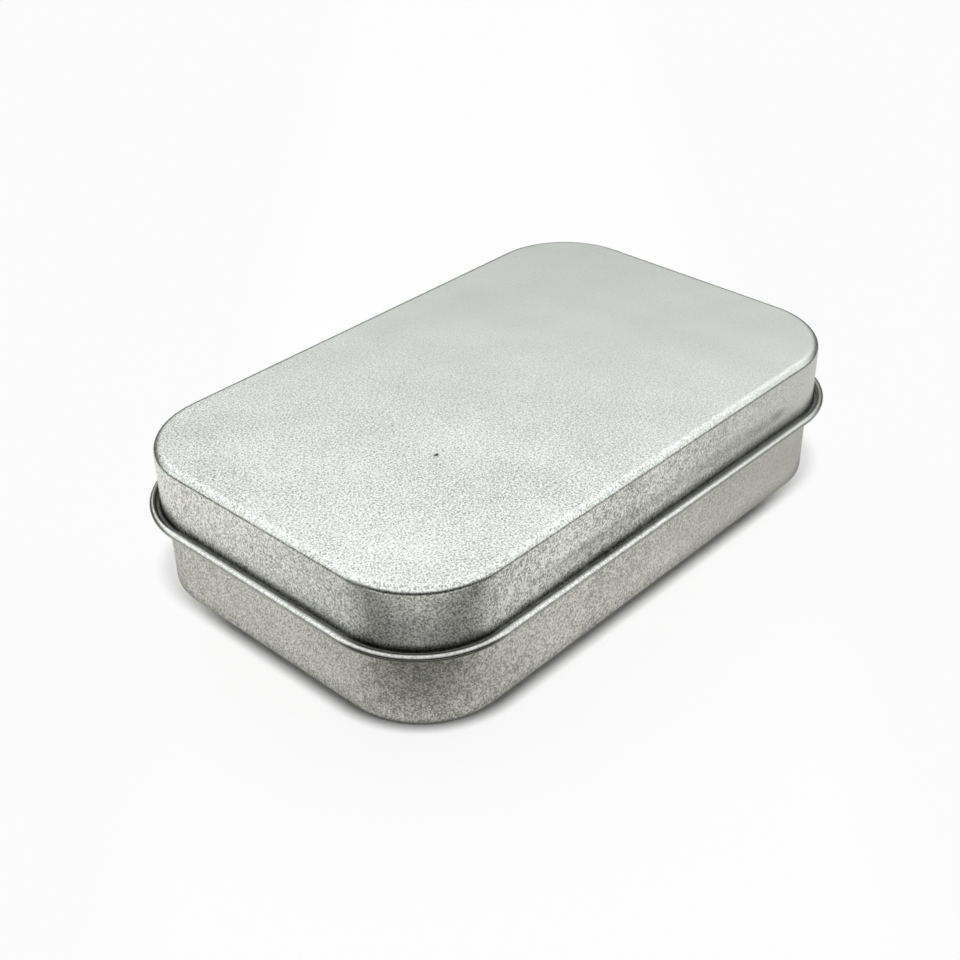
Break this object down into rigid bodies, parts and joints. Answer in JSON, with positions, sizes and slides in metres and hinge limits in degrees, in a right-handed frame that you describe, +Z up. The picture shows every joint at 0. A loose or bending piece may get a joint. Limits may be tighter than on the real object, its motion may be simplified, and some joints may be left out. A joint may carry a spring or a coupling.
{
  "type": "mint tin",
  "caption": "Pocket-size tin with rounded corners: a plain tinplate base tray and a hinged lid with a rolled lip, frosted silver finish",
  "frame": {"origin": "centre of the flat underside of the base, on the surface that the tin stands on", "axes": "+X along the long side, +Y towards the hinge at the back, +Z up"},
  "size_m": [0.0982, 0.0635, 0.0224],
  "materials": {
    "base_tinplate": "frosted tinplate, fine crinkled grain",
    "lid_tinplate": "frosted tinplate, fine crinkled grain"
  },
  "bodies": {
    "base": {"base": "base_tinplate"},
    "lid": {"lid": "lid_tinplate"}
  },
  "joints": [
    {"name": "lid_hinge", "type": "hinge", "parent": "base", "child": "lid", "pos_m": [0, 0.03112, 0.01265], "axis": [-1, 0, 0], "range_deg": [0, 110]}
  ]
}
